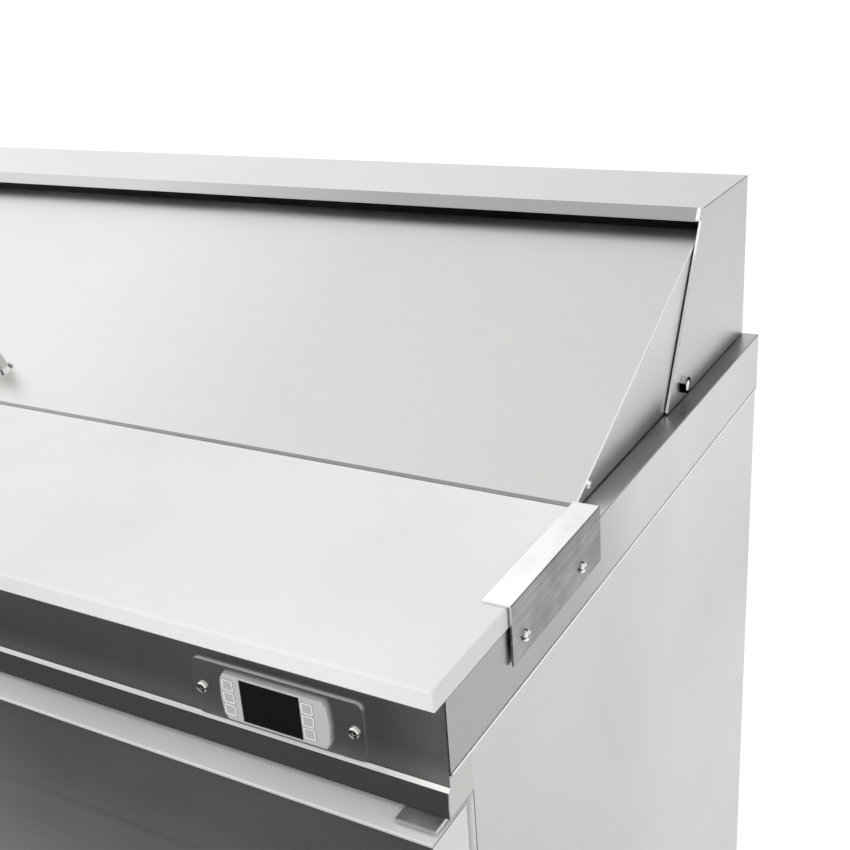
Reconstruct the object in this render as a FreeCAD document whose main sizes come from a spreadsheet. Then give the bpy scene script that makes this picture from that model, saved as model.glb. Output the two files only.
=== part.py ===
import FreeCAD, Part
import os, math

# Refrigerated sandwich prep table, 60 in class, two doors, roll-back lid over
# two rows of one-sixth pans.  Millimetres.  +Z up, front faces -Y, origin on the
# floor under the middle of the overall box.

V = FreeCAD.Vector
os.makedirs("parts", exist_ok=True)
doc = FreeCAD.newDocument("prep_table")
sheet = doc.addObject("Spreadsheet::Sheet", "dims")

# name, value, meaning
DIMS = [
    ("hw", 764.5, "half width over the worktop side aprons"),
    ("yfas", -357.0, "front plane of the fascia"),
    ("yrear", 348.0, "rear plane of the worktop and hood"),
    ("ydoor", -381.0, "front plane of the doors"),
    ("yfrm", -327.0, "front plane of the door frame"),
    ("zrim", 955.0, "top of the worktop rim"),
    ("zbase", 152.0, "underside of the cabinet base"),
    ("tk", 1.2, "worktop, hood and lid sheet thickness"),
    ("skin", 0.8, "cabinet skin thickness"),
    ("apron", 61.4, "height of the worktop aprons"),
    ("ystep", -117.0, "step behind the cutting board"),
    ("dstep", 4.0, "drop of the deck under the cutting board"),
    ("fbend", 884.0, "height of the joggle in the fascia"),
    ("fjog", 2.5, "depth of the joggle in the fascia"),
    ("zfas", 861.0, "bottom of the fascia"),
    ("brdy", -372.0, "front edge of the cutting board"),
    ("brdt", 15.3, "cutting board thickness"),
    ("wall", 48.0, "insulation thickness"),
    ("linr", 0.8, "liner thickness"),
    ("xin", 714.8, "half width of the foam cavity"),
    ("zfl", 200.0, "cavity floor"),
    ("yris", 62.0, "riser in front of the machine compartment"),
    ("zstp", 485.0, "top of the step over the machine compartment"),
    ("ybk", 299.0, "rear of the cavity"),
    ("zcl", 905.0, "cavity ceiling under the board deck"),
    ("ymc", 110.0, "front of the machine compartment"),
    ("zmc", 440.0, "top of the machine compartment"),
    ("opx", 713.0, "half width of the pan opening"),
    ("opf", -86.0, "front edge of the pan opening"),
    ("opb", 244.0, "rear edge of the pan opening"),
    ("ppx", 178.0, "pan pitch across the table"),
    ("ppy", 164.0, "pan pitch front to back"),
    ("panx", 176.0, "pan flange, across"),
    ("pany", 162.0, "pan flange, front to back"),
    ("pand", 100.0, "pan depth"),
    ("panr", 20.0, "pan corner radius"),
    ("hoodx", 747.3, "half width over the hood sides"),
    ("hoodh", 170.0, "hood height above the rim"),
    ("hyt", 201.6, "front top edge of the hood"),
    ("hyl", 195.0, "bottom edge of the hood lip"),
    ("hlip", 11.0, "drop of the hood lip"),
    ("hyb", 103.3, "front bottom corner of the hood sides"),
    ("hgap", 1.2, "gap under the hood and lid sides"),
    ("lidx", 743.7, "half width over the lid cheeks"),
    ("lfy", -101.0, "front edge of the lid"),
    ("lfz", 960.2, "height of the lid's front bend"),
    ("lty", 204.6, "rear top edge of the lid"),
    ("ltz", 1102.8, "height of the lid's rear top edge"),
    ("pvy", 146.0, "lid pivot, front to back"),
    ("pvz", 969.6, "lid pivot height"),
    ("pvr", 5.0, "lid pivot bolt radius"),
    ("nose", 12.0, "radius of the lid cheek around the pivot"),
    ("dx0", 3.0, "gap from the middle to a door"),
    ("dx1", 762.0, "outer edge of a door"),
    ("dz0", 195.0, "door bottom"),
    ("dz1", 855.0, "door top"),
    ("dyb", -335.0, "door back plane"),
    ("hpx", 748.0, "door hinge axis from the middle"),
    ("hpy", -358.0, "door hinge axis, front to back"),
    ("hpr", 4.0, "hinge pin radius"),
    ("cx", 690.0, "caster centre from the middle"),
    ("cyf", -275.0, "front caster centre"),
    ("cyr", 255.0, "rear caster centre"),
    ("wr", 62.5, "caster wheel radius"),
    ("ww", 32.0, "caster wheel width"),
    ("trail", 35.0, "caster trail"),
    ("axr", 5.0, "caster axle radius"),
    ("plx", 132.5, "middle of the control plate, from the right side"),
    ("plw", 141.0, "control plate width"),
    ("plz0", 884.6, "control plate bottom"),
    ("plz1", 930.0, "control plate top"),
    ("bzw", 88.0, "controller bezel width"),
    ("bzh", 38.0, "controller bezel height"),
    ("bzz", 906.8, "controller bezel mid height"),
    ("bpx", 100.0, "screw pitch of a board clip"),
    ("clf", -269.0, "front end of a board clip"),
    ("clb", -112.0, "rear end of a board clip"),
    ("clz", 921.0, "bottom edge of a board clip"),
    ("clo", 1.5, "stand-off of a board clip"),
]
for i, (a, v, note) in enumerate(DIMS, start=1):
    sheet.set("A%d" % i, note)
    sheet.set("B%d" % i, str(v))
    sheet.setAlias("B%d" % i, a)
doc.recompute()


class Q:
    """A number that remembers the spreadsheet expression it came from."""
    def __init__(self, v, s):
        self.v = float(v)
        self.s = s

    @staticmethod
    def of(o):
        return o if isinstance(o, Q) else Q(o, repr(round(float(o), 6)))

    def __add__(self, o):
        o = Q.of(o)
        return Q(self.v + o.v, "(%s + %s)" % (self.s, o.s))
    __radd__ = __add__

    def __sub__(self, o):
        o = Q.of(o)
        return Q(self.v - o.v, "(%s - %s)" % (self.s, o.s))

    def __rsub__(self, o):
        return Q.of(o) - self

    def __mul__(self, o):
        o = Q.of(o)
        return Q(self.v * o.v, "(%s * %s)" % (self.s, o.s))
    __rmul__ = __mul__

    def __truediv__(self, o):
        o = Q.of(o)
        return Q(self.v / o.v, "(%s / %s)" % (self.s, o.s))

    def __neg__(self):
        return Q(-self.v, "(0 - %s)" % self.s)


class Dims:
    pass


P = Dims()
for a, v, note in DIMS:
    setattr(P, a, Q(sheet.get(a), "dims." + a))

AX = {"x": V(1, 0, 0), "y": V(0, 1, 0), "z": V(0, 0, 1)}
count = {}
FINAL = {}


def uname(base):
    count[base] = count.get(base, 0) + 1
    return "%s_%d" % (base, count[base])


def place(o, x, y, z, rot=None):
    if rot is not None:
        o.Placement = FreeCAD.Placement(V(0, 0, 0), rot)
    for k, q in (("x", x), ("y", y), ("z", z)):
        o.setExpression("Placement.Base." + k, Q.of(q).s)
    return o


def bx(x0, x1, y0, y1, z0, z1):
    """Axis-aligned block between two corners."""
    o = doc.addObject("Part::Box", uname("blk"))
    for prop, a, b in (("Length", x0, x1), ("Width", y0, y1), ("Height", z0, z1)):
        o.setExpression(prop, (Q.of(b) - Q.of(a)).s)
    return place(o, x0, y0, z0)


def cy(r, x, y, z, axis, length):
    """Cylinder from a point along +x, +y or +z."""
    o = doc.addObject("Part::Cylinder", uname("cyl"))
    o.setExpression("Radius", Q.of(r).s)
    o.setExpression("Height", Q.of(length).s)
    return place(o, x, y, z, FreeCAD.Rotation(V(0, 0, 1), AX[axis]))


def fuse(items):
    o = doc.addObject("Part::MultiFuse", uname("sum"))
    o.Shapes = items
    o.Refine = True
    return o


def cut(base, tools):
    t = tools[0] if len(tools) == 1 else fuse(tools)
    o = doc.addObject("Part::Cut", uname("cut"))
    o.Base = base
    o.Tool = t
    o.Refine = True
    return o


def group(items):
    """Separate solids that share one node."""
    o = doc.addObject("Part::Compound", uname("grp"))
    o.Links = items
    return o


def rounded(base, radius, pick):
    """Round the edges that pick() chooses by their midpoint and direction."""
    doc.recompute()
    o = doc.addObject("Part::Fillet", uname("rnd"))
    o.Base = base
    sel = []
    for n, e in enumerate(base.Shape.Edges, start=1):
        if e.Curve.TypeId != "Part::GeomLine" and not pick.__name__.startswith("any"):
            continue
        m = e.valueAt((e.FirstParameter + e.LastParameter) / 2.0)
        d = e.tangentAt(e.FirstParameter)
        if pick(m, d, e):
            sel.append((n, float(radius), float(radius)))
    if not sel:
        raise RuntimeError("no edge to round on " + base.Name)
    o.Edges = sel
    return o


PLANES = {"xy": "XY_Plane", "xz": "XZ_Plane", "yz": "YZ_Plane"}


def sketch_on(body, plane, name, loops):
    """Closed polygons, every corner held by two dimensions from the origin."""
    sk = body.newObject("Sketcher::SketchObject", name)
    pl = [f for f in body.Origin.OriginFeatures if f.Role == PLANES[plane]][0]
    sk.AttachmentSupport = (pl, "")
    sk.MapMode = "FlatFace"
    for pts in loops:
        pts = [(Q.of(a), Q.of(b)) for a, b in pts]
        first = sk.GeometryCount
        n = len(pts)
        for k in range(n):
            a, b = pts[k], pts[(k + 1) % n]
            sk.addGeometry(Part.LineSegment(V(a[0].v, a[1].v, 0), V(b[0].v, b[1].v, 0)), False)
        import Sketcher
        for k in range(n):
            sk.addConstraint(Sketcher.Constraint("Coincident", first + k, 2, first + (k + 1) % n, 1))
        for k in range(n):
            for kind, q in (("DistanceX", pts[k][0]), ("DistanceY", pts[k][1])):
                c = sk.addConstraint(Sketcher.Constraint(kind, -1, 1, first + k, 1, q.v))
                sk.setExpression("Constraints[%d]" % c, q.s)
    return sk


def pad(name, plane, loops, length, x=0, y=0, z=0, reverse=False):
    """Extruded profile as a body.  yz extrudes along +x, xy along +z, xz along -y."""
    body = doc.addObject("PartDesign::Body", uname(name))
    sk = sketch_on(body, plane, uname("sk"), loops)
    doc.recompute()
    f = body.newObject("PartDesign::Pad", uname("pad"))
    f.Profile = sk
    f.setExpression("Length", Q.of(length).s)
    f.Reversed = reverse
    body.Tip = f
    place(body, x, y, z)
    return body


def pd_fillet(body, radius, pick):
    doc.recompute()
    tip = body.Tip
    names = []
    for n, e in enumerate(tip.Shape.Edges, start=1):
        if e.Curve.TypeId != "Part::GeomLine":
            continue
        m = e.valueAt((e.FirstParameter + e.LastParameter) / 2.0)
        d = e.tangentAt(e.FirstParameter)
        if pick(m, d, e):
            names.append("Edge%d" % n)
    if not names:
        raise RuntimeError("no edge to round on " + body.Name)
    f = body.newObject("PartDesign::Fillet", uname("fil"))
    f.Base = (tip, names)
    f.Radius = radius
    body.Tip = f
    return body


def node(label, obj):
    obj.Label = label
    FINAL[label] = obj
    return obj


def near(a, b, tol=0.05):
    return abs(a - b) < tol


def cut_first(profile, hole):
    """One opening cut across a profile before it is joined to the others."""
    return cut(profile, [hole])

W = P.hw

# ---------------------------------------------------------------- worktop rim
zt, tk = P.zrim, P.tk
zdk = zt - P.dstep
rim = fuse([
    bx(-W, W, P.yfas, P.ystep + tk, zdk - tk, zdk),
    bx(-W, W, P.ystep, P.ystep + tk, zdk - tk, zt),
    bx(-W, W, P.ystep, P.opf, zt - tk, zt),
    bx(-W, -P.opx, P.opf - 1, P.opb + 1, zt - tk, zt),
    bx(P.opx, W, P.opf - 1, P.opb + 1, zt - tk, zt),
    bx(-W, W, P.opb, P.yrear, zt - tk, zt),
    bx(-W, -W + tk, P.yfas, P.ystep + tk, zt - P.apron, zdk),
    bx(W - tk, W, P.yfas, P.ystep + tk, zt - P.apron, zdk),
    bx(-W, -W + tk, P.ystep, P.yrear, zt - P.apron, zt),
    bx(W - tk, W, P.ystep, P.yrear, zt - P.apron, zt),
    bx(-W, W, P.yrear - tk, P.yrear, zt - P.apron, zt),
    # down-turned ledge around the pan opening
    bx(-P.opx, P.opx, P.opf, P.opf + tk, zt - 7.2, zt),
    bx(-P.opx, P.opx, P.opf, P.opf + 8, zt - 7.2, zt - 6),
    bx(-P.opx, P.opx, P.opb - tk, P.opb, zt - 7.2, zt),
    bx(-P.opx, P.opx, P.opb - 8, P.opb, zt - 7.2, zt - 6),
    bx(-P.opx, -P.opx + tk, P.opf, P.opb, zt - 7.2, zt),
    bx(P.opx - tk, P.opx, P.opf, P.opb, zt - 7.2, zt),
])
rim = rounded(rim, 1.0, lambda m, d, e: near(abs(m.x), 764.5) and m.z > 950 and abs(d.y) > 0.9)
node("worktop_rim", rim)

# ---------------------------------------------------------------- cabinet skins
xs = W - tk
node("side_panels", group([
    bx(sx0, sx1, P.yfrm, P.yrear - tk, P.zbase + 1.5, zt - 8)
    for sx0, sx1 in ((-xs, -xs + P.skin), (xs - P.skin, xs))]))
xi = xs - P.skin
node("back_panel", bx(-xi, xi, P.yrear - tk - P.skin, P.yrear - tk, P.zmc, zt - 8))
node("base_pan", fuse([bx(-xs, xs, P.yfas, P.yrear - tk, P.zbase, P.zbase + 1.5), bx(-xs, xs, P.yfas, P.yfrm, P.zbase, P.dz0 - 6)]))

# front header: joggled sheet with ends, cut out for the controller
yf, jg = P.yfas, P.fjog
prof = [(yf, zdk - tk), (yf, P.fbend), (yf - jg, P.fbend - jg), (yf - jg, P.zfas), (P.yfrm, P.zfas),
        (P.yfrm, P.zfas + 1), (yf - jg + 1, P.zfas + 1), (yf - jg + 1, P.fbend - jg - 0.4),
        (yf + 1, P.fbend - 0.4), (yf + 1, zdk - tk)]
xpl = W - P.plx
fas = pad("fascia", "yz", [prof], xs * 2, x=-xs)
ends = [pad("fascia_end", "yz", [[(yf, zdk - tk), (yf, P.fbend), (yf - jg, P.fbend - jg), (yf - jg, P.zfas),
                                  (P.yfrm, P.zfas), (P.yfrm, zdk - tk)]], 1, x=q) for q in (-xs, xs - 1)]
node("fascia_panel", cut(fuse([fas] + ends), [
    bx(xpl - 36, xpl + 36, yf - 5, yf + 5, P.bzz - 15, P.bzz + 15),
    cy(1.6, xpl - 63, yf - 5, P.bzz, "y", 10), cy(1.6, xpl + 63, yf - 5, P.bzz, "y", 10)]))

# ---------------------------------------------------------------- insulation
zf, xo, xw = P.zfl, P.xin, xi
ft = P.zbase + 1.5
node("insulation_panels", group([
    bx(-xo, xo, P.yfrm + 3, P.ymc, ft, zf),
    bx(-xw, -xo, P.yfrm + 3, P.ymc, ft, zt - 8), bx(xo, xw, P.yfrm + 3, P.ymc, ft, zt - 8),
    bx(-xw, -xo, P.ymc, P.yrear - tk - P.skin, P.zmc, zt - 8), bx(xo, xw, P.ymc, P.yrear - tk - P.skin, P.zmc, zt - 8),
    bx(-xo, xo, P.yris, P.ymc, zf, P.zstp),
    bx(-xo, xo, P.ymc, P.ybk, P.zmc, P.zstp),
    bx(-xo, xo, P.ybk, P.yrear - tk - P.skin, P.zmc, zt - 8),
    bx(-xo, xo, P.yfrm + 3, P.opf - 4, P.zcl, zdk - tk - 0.2),
    bx(-xo, xpl - 60, yf + 1.2, P.yfrm, P.zfas + 1, zdk - tk - 0.2),
]))

# inner liner: flat sheets riveted edge to edge, open at the front and under the pans
t = P.linr
xs_i = xo - t
ln = [bx(-xs_i, xs_i, P.yfrm + 3, P.yris - t, zf, zf + t),
      bx(-xs_i, xs_i, P.yris - t, P.yris, zf, P.zstp),
      bx(-xs_i, xs_i, P.yris - t, P.ybk - t, P.zstp, P.zstp + t),
      bx(-xs_i, xs_i, P.ybk - t, P.ybk, P.zstp, zt - 8),
      bx(-xs_i, xs_i, P.opf - 4, P.opf - 4 + t, P.zcl - t, zt - 8),
      bx(-xs_i, xs_i, P.yfrm + 3, P.opf - 4, P.zcl - t, P.zcl)]
for x0, x1 in ((-xo, -xs_i), (xs_i, xo)):
    ln += [bx(x0, x1, P.yfrm + 3, P.yris, zf, P.zstp),
           bx(x0, x1, P.yfrm + 3, P.ybk, P.zstp, P.zcl),
           bx(x0, x1, P.opf - 4, P.ybk, P.zcl, zt - 8)]
node("inner_liner", group(ln))

# door frame bars with the centre mullion and the base rail
z_lo, z_hi = zf + 4, P.zfas - 10
node("front_frame", group([
    bx(-xi, xi, P.yfrm, P.yfrm + 3, P.zbase + 1.5, z_lo), bx(-xi, xi, P.yfrm, P.yfrm + 3, z_hi, P.zcl),
    bx(-xi, -(xo - 3), P.yfrm, P.yfrm + 3, z_lo, z_hi), bx(xo - 3, xi, P.yfrm, P.yfrm + 3, z_lo, z_hi),
    bx(-25, 25, P.yfrm, P.yfrm + 3, z_lo, z_hi),
    bx(-22, 22, P.yfrm + 3, P.yfrm + 40, zf + t, P.zcl - t)]))

# ---------------------------------------------------------------- pans and bars
py0 = (P.opf + P.opb) / 2
zb = zt - 6
bars = [bx(-P.opx + 1.4, P.opx - 1.4, py0 - 9, py0 + 9, zb, zb + 2.5)]
for k in (-3, -2, -1, 0, 1, 2, 3):
    bars += [bx(P.ppx * k - 9, P.ppx * k + 9, P.opf + 1.4, py0 - 9, zb, zb + 2.5), bx(P.ppx * k - 9, P.ppx * k + 9, py0 + 9, P.opb - 1.4, zb, zb + 2.5)]
node("pan_divider_bars", group(bars))


def round_rect(wx, wy, r, z):
    x, y = wx / 2.0 - r, wy / 2.0 - r
    c = r * math.sqrt(0.5)
    e = [Part.LineSegment(V(-x, -wy / 2.0, z), V(x, -wy / 2.0, z)),
         Part.Arc(V(x, -wy / 2.0, z), V(x + c, -y - c, z), V(wx / 2.0, -y, z)),
         Part.LineSegment(V(wx / 2.0, -y, z), V(wx / 2.0, y, z)),
         Part.Arc(V(wx / 2.0, y, z), V(x + c, y + c, z), V(x, wy / 2.0, z)),
         Part.LineSegment(V(x, wy / 2.0, z), V(-x, wy / 2.0, z)),
         Part.Arc(V(-x, wy / 2.0, z), V(-x - c, y + c, z), V(-wx / 2.0, y, z)),
         Part.LineSegment(V(-wx / 2.0, y, z), V(-wx / 2.0, -y, z)),
         Part.Arc(V(-wx / 2.0, -y, z), V(-x - c, -y - c, z), V(-x, -wy / 2.0, z))]
    return Part.Wire([q.toShape() for q in e])


# one-sixth pan: drafted body with rounded corners and a flat flange
pnx, pny, pdp, pcr = sheet.get("panx"), sheet.get("pany"), sheet.get("pand"), sheet.get("panr")
zpf = sheet.get("zrim") - 6 + 2.5
draft = 2 * pdp * math.tan(math.radians(4))
po = Part.makeLoft([round_rect(pnx - 18, pny - 18, pcr, zpf + 1.2), round_rect(pnx - 18 - draft, pny - 18 - draft, pcr, zpf - pdp)], True, True)
pi = Part.makeLoft([round_rect(pnx - 20, pny - 20, pcr - 1, zpf + 1.3), round_rect(pnx - 20 - draft, pny - 20 - draft, pcr - 1, zpf - pdp + 1)], True, True)
pf = Part.Face(round_rect(pnx, pny, 8, zpf)).extrude(V(0, 0, 1.2))
low = [e for e in po.Edges if abs(e.BoundBox.ZMax - (zpf - pdp)) < 0.01]
po = po.makeFillet(10, low)
low = [e for e in pi.Edges if abs(e.BoundBox.ZMax - (zpf - pdp + 1)) < 0.01]
pi = pi.makeFillet(9, low)
ps = po.fuse(pf).cut(pi)
copies = []
for j in (-0.5, 0.5):
    for k in range(8):
        c = ps.copy()
        c.translate(V(sheet.get("ppx") * (k - 3.5), sheet.get("ppy") * j + (sheet.get("opf") + sheet.get("opb")) / 2, 0))
        copies.append(c)
pans = doc.addObject("Part::Feature", "pans")
pans.Shape = Part.makeCompound(copies)
node("food_pans", pans)

# ---------------------------------------------------------------- cutting board, clips, screws
brd = pad("board", "xy", [[(-W, P.brdy), (W, P.brdy), (W, P.ystep - 0.3), (-W, P.ystep - 0.3)]], P.brdt, z=zdk)
pd_fillet(brd, 2.2, lambda m, d, e: m.z > 1 or abs(m.z) < 1e-6 and abs(d.x) > 0.9)
node("cutting_board", brd)

ztop = zdk + P.brdt + 0.3
xc = W + P.clo
clips, scr = [], []
for s in (1, -1):
    a = [(s * (W - 19), ztop), (s * (W - 19), ztop + 1.5), (s * (xc + 1.5), ztop + 1.5), (s * (xc + 1.5), P.clz), (s * xc, P.clz), (s * xc, ztop)]
    if s < 0:
        a = a[::-1]
    c = pad("clip", "xz", [a], P.clb - P.clf, y=P.clb)
    pd_fillet(c, 1.4, lambda m, d, e: abs(m.x) > 765.9 and m.z > 967 and abs(d.y) > 0.9)
    clips.append(cut(c, [cy(2.1, s * xc - 6, P.clf + 19, 935, "x", 12), cy(2.1, s * xc - 6, P.clf + 119, 935, "x", 12)]))
node("board_clips", group(clips))


def pan_head(r, hgt, shank, length, drive):
    """Cross-recess screw along +z, underside of the head at z = 0."""
    a = [(0, -length), (shank, -length), (shank, 0), (r, 0), (r, hgt * 0.45), (r * 0.8, hgt * 0.85), (r * 0.4, hgt), (0, hgt)]
    f = Part.Face(Part.makePolygon([V(p[0], 0, p[1]) for p in a] + [V(a[0][0], 0, a[0][1])]))
    s = f.revolve(V(0, 0, 0), V(0, 0, 1), 360)
    x = Part.makeBox(drive * 2, drive * 0.32, hgt * 0.6, V(-drive, -drive * 0.16, hgt * 0.45))
    y = Part.makeBox(drive * 0.32, drive * 2, hgt * 0.6, V(-drive * 0.16, -drive, hgt * 0.45))
    return s.cut(x.fuse(y))


def turned(shape, axis, pos):
    s = shape.copy()
    s.Placement = FreeCAD.Placement(V(*pos), FreeCAD.Rotation(V(0, 0, 1), axis))
    return s


def washer(ro, ri, th, axis, pos):
    return turned(Part.makeCylinder(ro, th).cut(Part.makeCylinder(ri, th)), axis, pos)


hw = sheet.get("hw")
clo = sheet.get("clo")
sc = []
for s in (1, -1):
    for yy in (sheet.get("clf") + 19, sheet.get("clf") + 119):
        sc.append(turned(pan_head(4.6, 2.9, 2.0, 1.5 + clo + 1.2, 2.6), V(s, 0, 0), (s * (hw + clo + 1.5), yy, 935)))
        sc.append(washer(4.5, 2.1, clo, V(s, 0, 0), (s * hw, yy, 935)))
screws = doc.addObject("Part::Feature", "clip_scr")
screws.Shape = Part.makeCompound(sc)
node("clip_screws", screws)
# screw holes in the aprons
node("worktop_rim", cut(FINAL["worktop_rim"], [cy(2.0, -W - 3, P.clf + 19, 935, "x", W * 2 + 6), cy(2.0, -W - 3, P.clf + 119, 935, "x", W * 2 + 6)]))
rim.Label = "rim_blank"
FINAL["side_panels"].Label = "side_panels"

# ---------------------------------------------------------------- rear hood
zh = zt + P.hoodh
hx = P.hoodx
zs = zt + P.hgap
side = [(P.yrear, zs), (P.yrear, zh), (P.hyt, zh), (P.hyl, zh - P.hlip), (P.hyb, zs)]
hood_o = pad("hood_out", "yz", [side], hx * 2, x=-hx)
hood_i = pad("hood_in", "yz", [[(P.yrear - tk, zs - 3), (P.yrear - tk, zh - tk), (P.hyt + 0.8, zh - tk), (P.hyl + 1.1, zh - P.hlip - 1),
                                (P.hyl - 3, zh - P.hlip - 1), (P.hyb - 6, zs - 3)]], (hx - tk) * 2, x=-(hx - tk))
feet = [bx(-(hx - tk), hx - tk, P.yrear - tk - 18, P.yrear - 0.3, zt, zs + 0.4)]
hood = cut(hood_o, [hood_i, cy(P.pvr, -hx - 2, P.pvy, P.pvz, "x", hx * 2 + 4)])
hood = rounded(hood, 1.1, lambda m, d, e: (near(m.z, 1125) and (near(abs(m.x), 747.3) or near(m.y, 348))) or
               (near(m.y, 201.6) and abs(d.x) > 0.9 and near(m.z, 1125)) or (near(abs(m.x), 747.3) and near(m.y, 348)))
node("rear_hood", fuse([hood] + feet))

# pivot bolts: hexagon head outside, shank through the hood side and the lid cheek, nut inside
pv = (sheet.get("pvy"), sheet.get("pvz"))
hxv = sheet.get("hoodx")
bl = []
for s in (1, -1):
    hexa = Part.Face(Part.makePolygon([V(9.0 * math.cos(math.radians(60 * k)), 9.0 * math.sin(math.radians(60 * k)), 0) for k in range(7)]))
    head = hexa.extrude(V(0, 0, 5.0)).common(Part.makeCone(12.0, 7.6, 6.6))
    b = head.fuse(Part.makeCylinder(sheet.get("pvr"), 14, V(0, 0, -14)))
    nut = hexa.extrude(V(0, 0, 5.0)).cut(Part.makeCylinder(sheet.get("pvr"), 5.0))
    nut.translate(V(0, 0, -13.5))
    for q in (b, nut):
        bl.append(turned(q, V(s, 0, 0), (s * hxv, pv[0], pv[1])))
bolts = doc.addObject("Part::Feature", "pivots")
bolts.Shape = Part.makeCompound(bl)
node("lid_pivot_bolts", bolts)

# ---------------------------------------------------------------- lid
lx = P.lidx
slope = math.atan2(sheet.get("ltz") - sheet.get("lfz"), sheet.get("lty") - sheet.get("lfy"))
nx, nz = -math.sin(slope), math.cos(slope)
dt = 1.2
outer_l = [(P.lfy, zs + 0.6), (P.lfy, P.lfz), (P.lty, P.ltz), (P.pvy + 11.3, P.pvz + 4), (P.pvy + 11.3, P.pvz - 4), (P.pvy + 4, zs + 1.2), (P.pvy - 4, zs + 0.6)]
inner_l = [(P.lfy + dt, zs - 3), (P.lfy + dt, P.lfz - 0.8), (P.lty + 0.6, P.ltz - dt * 1.1 + 0.3), (P.lty + 12, P.ltz - 20), (P.pvy + 30, zs - 3)]
lid = cut(pad("lid_out", "yz", [outer_l], lx * 2, x=-lx),
          [pad("lid_in", "yz", [inner_l], (lx - dt) * 2, x=-(lx - dt)),
           cy(P.pvr + 0.06, -lx - 2, P.pvy, P.pvz, "x", lx * 2 + 4)])
lid = rounded(lid, 1.0, lambda m, d, e: (abs(d.x) > 0.9 and near(m.y, -101.0) and near(m.z, 960.2)) or
              (near(abs(m.x), 743.7) and abs(d.y) > 0.85 and d.z * d.y > 0.3 and m.z > 1000))
node("lid_panel", lid)
# inner panel of the insulated lid, a shallow tray under the skin
off = 1.25
th = 12.0
q0 = (sheet.get("lfy") + 1.4, 0)
a0 = (sheet.get("lfy") + 2.0 + 1.25 * math.sin(slope), sheet.get("lfz") - off * math.cos(slope) + 0.1)
L = math.hypot(sheet.get("lty") - sheet.get("lfy"), sheet.get("ltz") - sheet.get("lfz"))


def on_lid(s, d):
    """Point s along the slope from the front bend and d below the skin's top face."""
    return (sheet.get("lfy") + s * math.cos(slope) + d * math.sin(slope), sheet.get("lfz") + s * math.sin(slope) - d * math.cos(slope))


pts = [on_lid(8, off), on_lid(L - 5, off), on_lid(L - 6, off + th), on_lid(38, off + th)]
node("lid_inner_panel", pad("lidliner", "yz", [[(Q.of(a), Q.of(b)) for a, b in pts]], (lx - dt - 0.8) * 2, x=-(lx - dt - 0.8)))

# bar handle on two feet and its screws, fixed low on the middle of the lid
bar_r = 7.0
hx0 = 71.5
lq = on_lid(42, 0)
hpl = FreeCAD.Placement(V(0, lq[0], lq[1]), FreeCAD.Rotation(V(1, 0, 0), math.degrees(slope)))
parts_h = [Part.makeCylinder(bar_r, 2 * hx0, V(-hx0, 0, 25), V(1, 0, 0))]
for s in (-hx0, hx0):
    parts_h += [Part.makeCylinder(bar_r, 25, V(s, 0, 0)), Part.makeSphere(bar_r, V(s, 0, 25)), Part.makeCone(10.5, 7.5, 5.0, V(s, 0, 0))]
han = parts_h[0].fuse(parts_h[1:])
han.Placement = hpl
hobj = doc.addObject("Part::Feature", "handle")
hobj.Shape = han
node("lid_handle", hobj)
ls = []
for s in (1, -1):
    ls.append(turned(pan_head(3.5, 2.4, 1.6, 2.0, 2.0), V(s, 0, 0), (s * sheet.get("lidx"), sheet.get("lfy") + 23, 967.0)))
lobj = doc.addObject("Part::Feature", "lid_scr")
lobj.Shape = Part.makeCompound(ls)
node("lid_screws", lobj)
hl = cut(FINAL["lid_panel"], [cy(1.6, -P.lidx - 2, P.lfy + 23, 967.0, "x", P.lidx * 2 + 4)])
FINAL["lid_panel"].Label = "lid_blank"
node("lid_panel", hl)

# ---------------------------------------------------------------- controller
yp = P.yfas - 1.6
plate = pad("plate", "xz", [[(xpl - P.plw / 2, P.plz0), (xpl + P.plw / 2, P.plz0), (xpl + P.plw / 2, P.plz1), (xpl - P.plw / 2, P.plz1)]], 1.6, y=P.yfas)
pd_fillet(plate, 5.7, lambda m, d, e: abs(d.y) > 0.9)
node("control_plate", cut(plate, [bx(xpl - 36, xpl + 36, yp - 2, yp + 5, P.bzz - 15, P.bzz + 15),
                                  cy(1.6, xpl - 63, yp - 5, P.bzz, "y", 10), cy(1.6, xpl + 63, yp - 5, P.bzz, "y", 10)]))
xv = hw - sheet.get("plx")
yv, zv = sheet.get("yfas") - 1.6, sheet.get("bzz")
cs = [turned(pan_head(4.2, 2.6, 1.6, 2.6, 2.4), V(0, -1, 0), (xv + q, yv, zv)) for q in (-63, 63)]
cobj = doc.addObject("Part::Feature", "ctl_scr")
cobj.Shape = Part.makeCompound(cs)
node("control_plate_screws", cobj)

# bezel with a rear case, a window recess and six key wells
bw, bh = P.bzw, P.bzh
bez = pad("bezel", "xz", [[(xpl - bw / 2, P.bzz - bh / 2 + 5), (xpl - bw / 2 + 3, P.bzz - bh / 2), (xpl + bw / 2 - 3, P.bzz - bh / 2), (xpl + bw / 2, P.bzz - bh / 2 + 5),
                           (xpl + bw / 2 + 1.2, P.bzz), (xpl + bw / 2, P.bzz + bh / 2 - 5), (xpl + bw / 2 - 3, P.bzz + bh / 2),
                           (xpl - bw / 2 + 3, P.bzz + bh / 2), (xpl - bw / 2, P.bzz + bh / 2 - 5), (xpl - bw / 2 - 1.2, P.bzz)]], 2.8, y=yp)
bez = rounded(bez, 1.0, lambda m, d, e: m.y < sheet.get("yfas") - 4.2 and abs(d.y) < 0.1)
keys = []
for kx0 in (-37.5, 28.5):
    for r_ in (-1, 0, 1):
        keys.append((xpl + kx0, P.bzz + 10 * r_))
wells = [bx(kx - 4.9, kx + 4.9, yp - 9, yp - 1.2, kz - 4.6, kz + 4.6) for kx, kz in keys]
case = bx(xpl - 35.5, xpl + 35.5, yp, yp + 26, P.bzz - 14.5, P.bzz + 14.5)
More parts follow.
